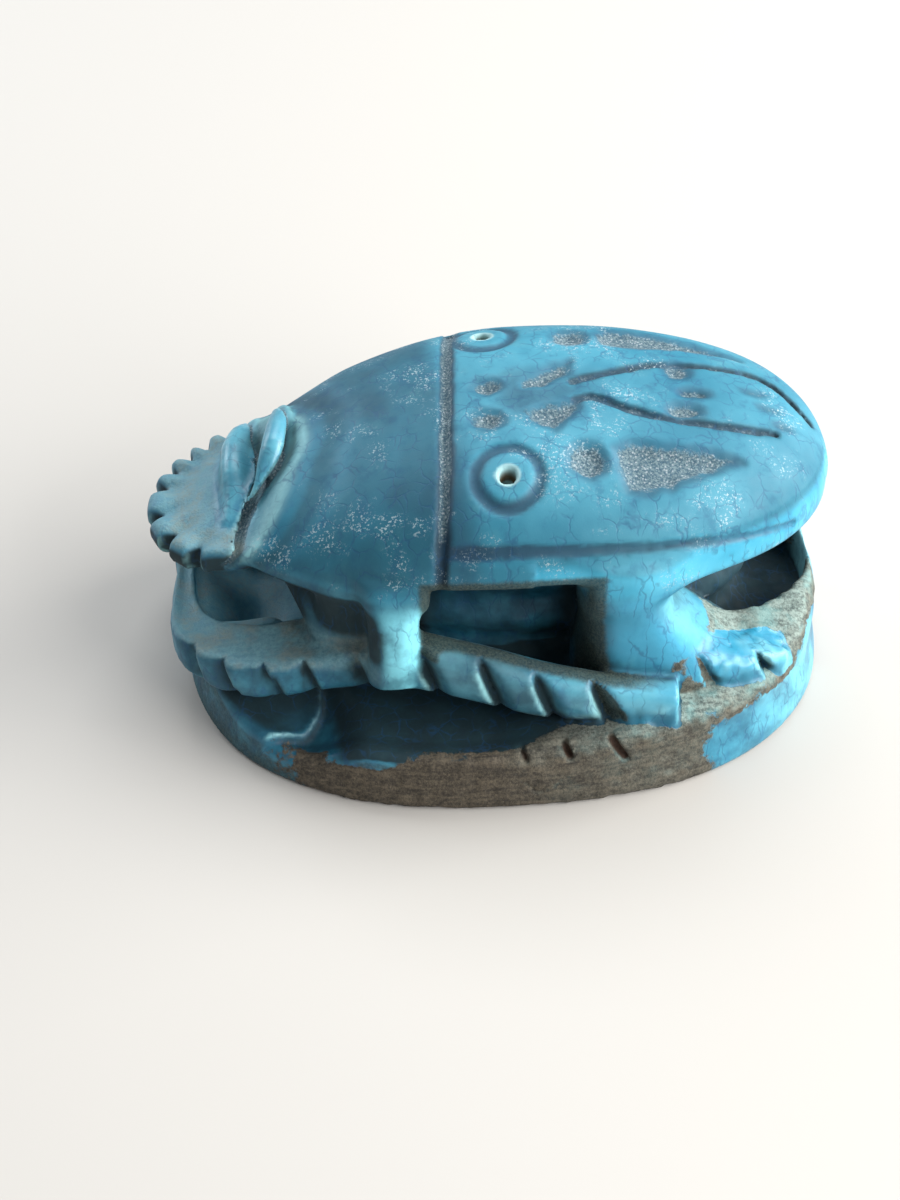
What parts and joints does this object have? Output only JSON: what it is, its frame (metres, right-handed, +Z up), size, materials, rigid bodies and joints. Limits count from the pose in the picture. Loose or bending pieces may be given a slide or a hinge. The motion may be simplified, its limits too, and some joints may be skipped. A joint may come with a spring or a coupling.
{
  "type": "scarab amulet",
  "caption": "Carved, glazed stone beetle with notched legs folded along an oval base, its back cut with rings, wedges and lines.",
  "frame": {"origin": "middle of the base's flat underside", "axes": "X along the beetle from head to tail, Y across it, Z up from the underside"},
  "size_m": [0.0661, 0.0494, 0.0299],
  "materials": {
    "glazed_stone": "glossy crackled turquoise glaze on soft grey-brown stone, worn bare low on the base, with grey grit in the cuts"
  },
  "bodies": {
    "root": {"scarab": "glazed_stone"}
  },
  "joints": []
}
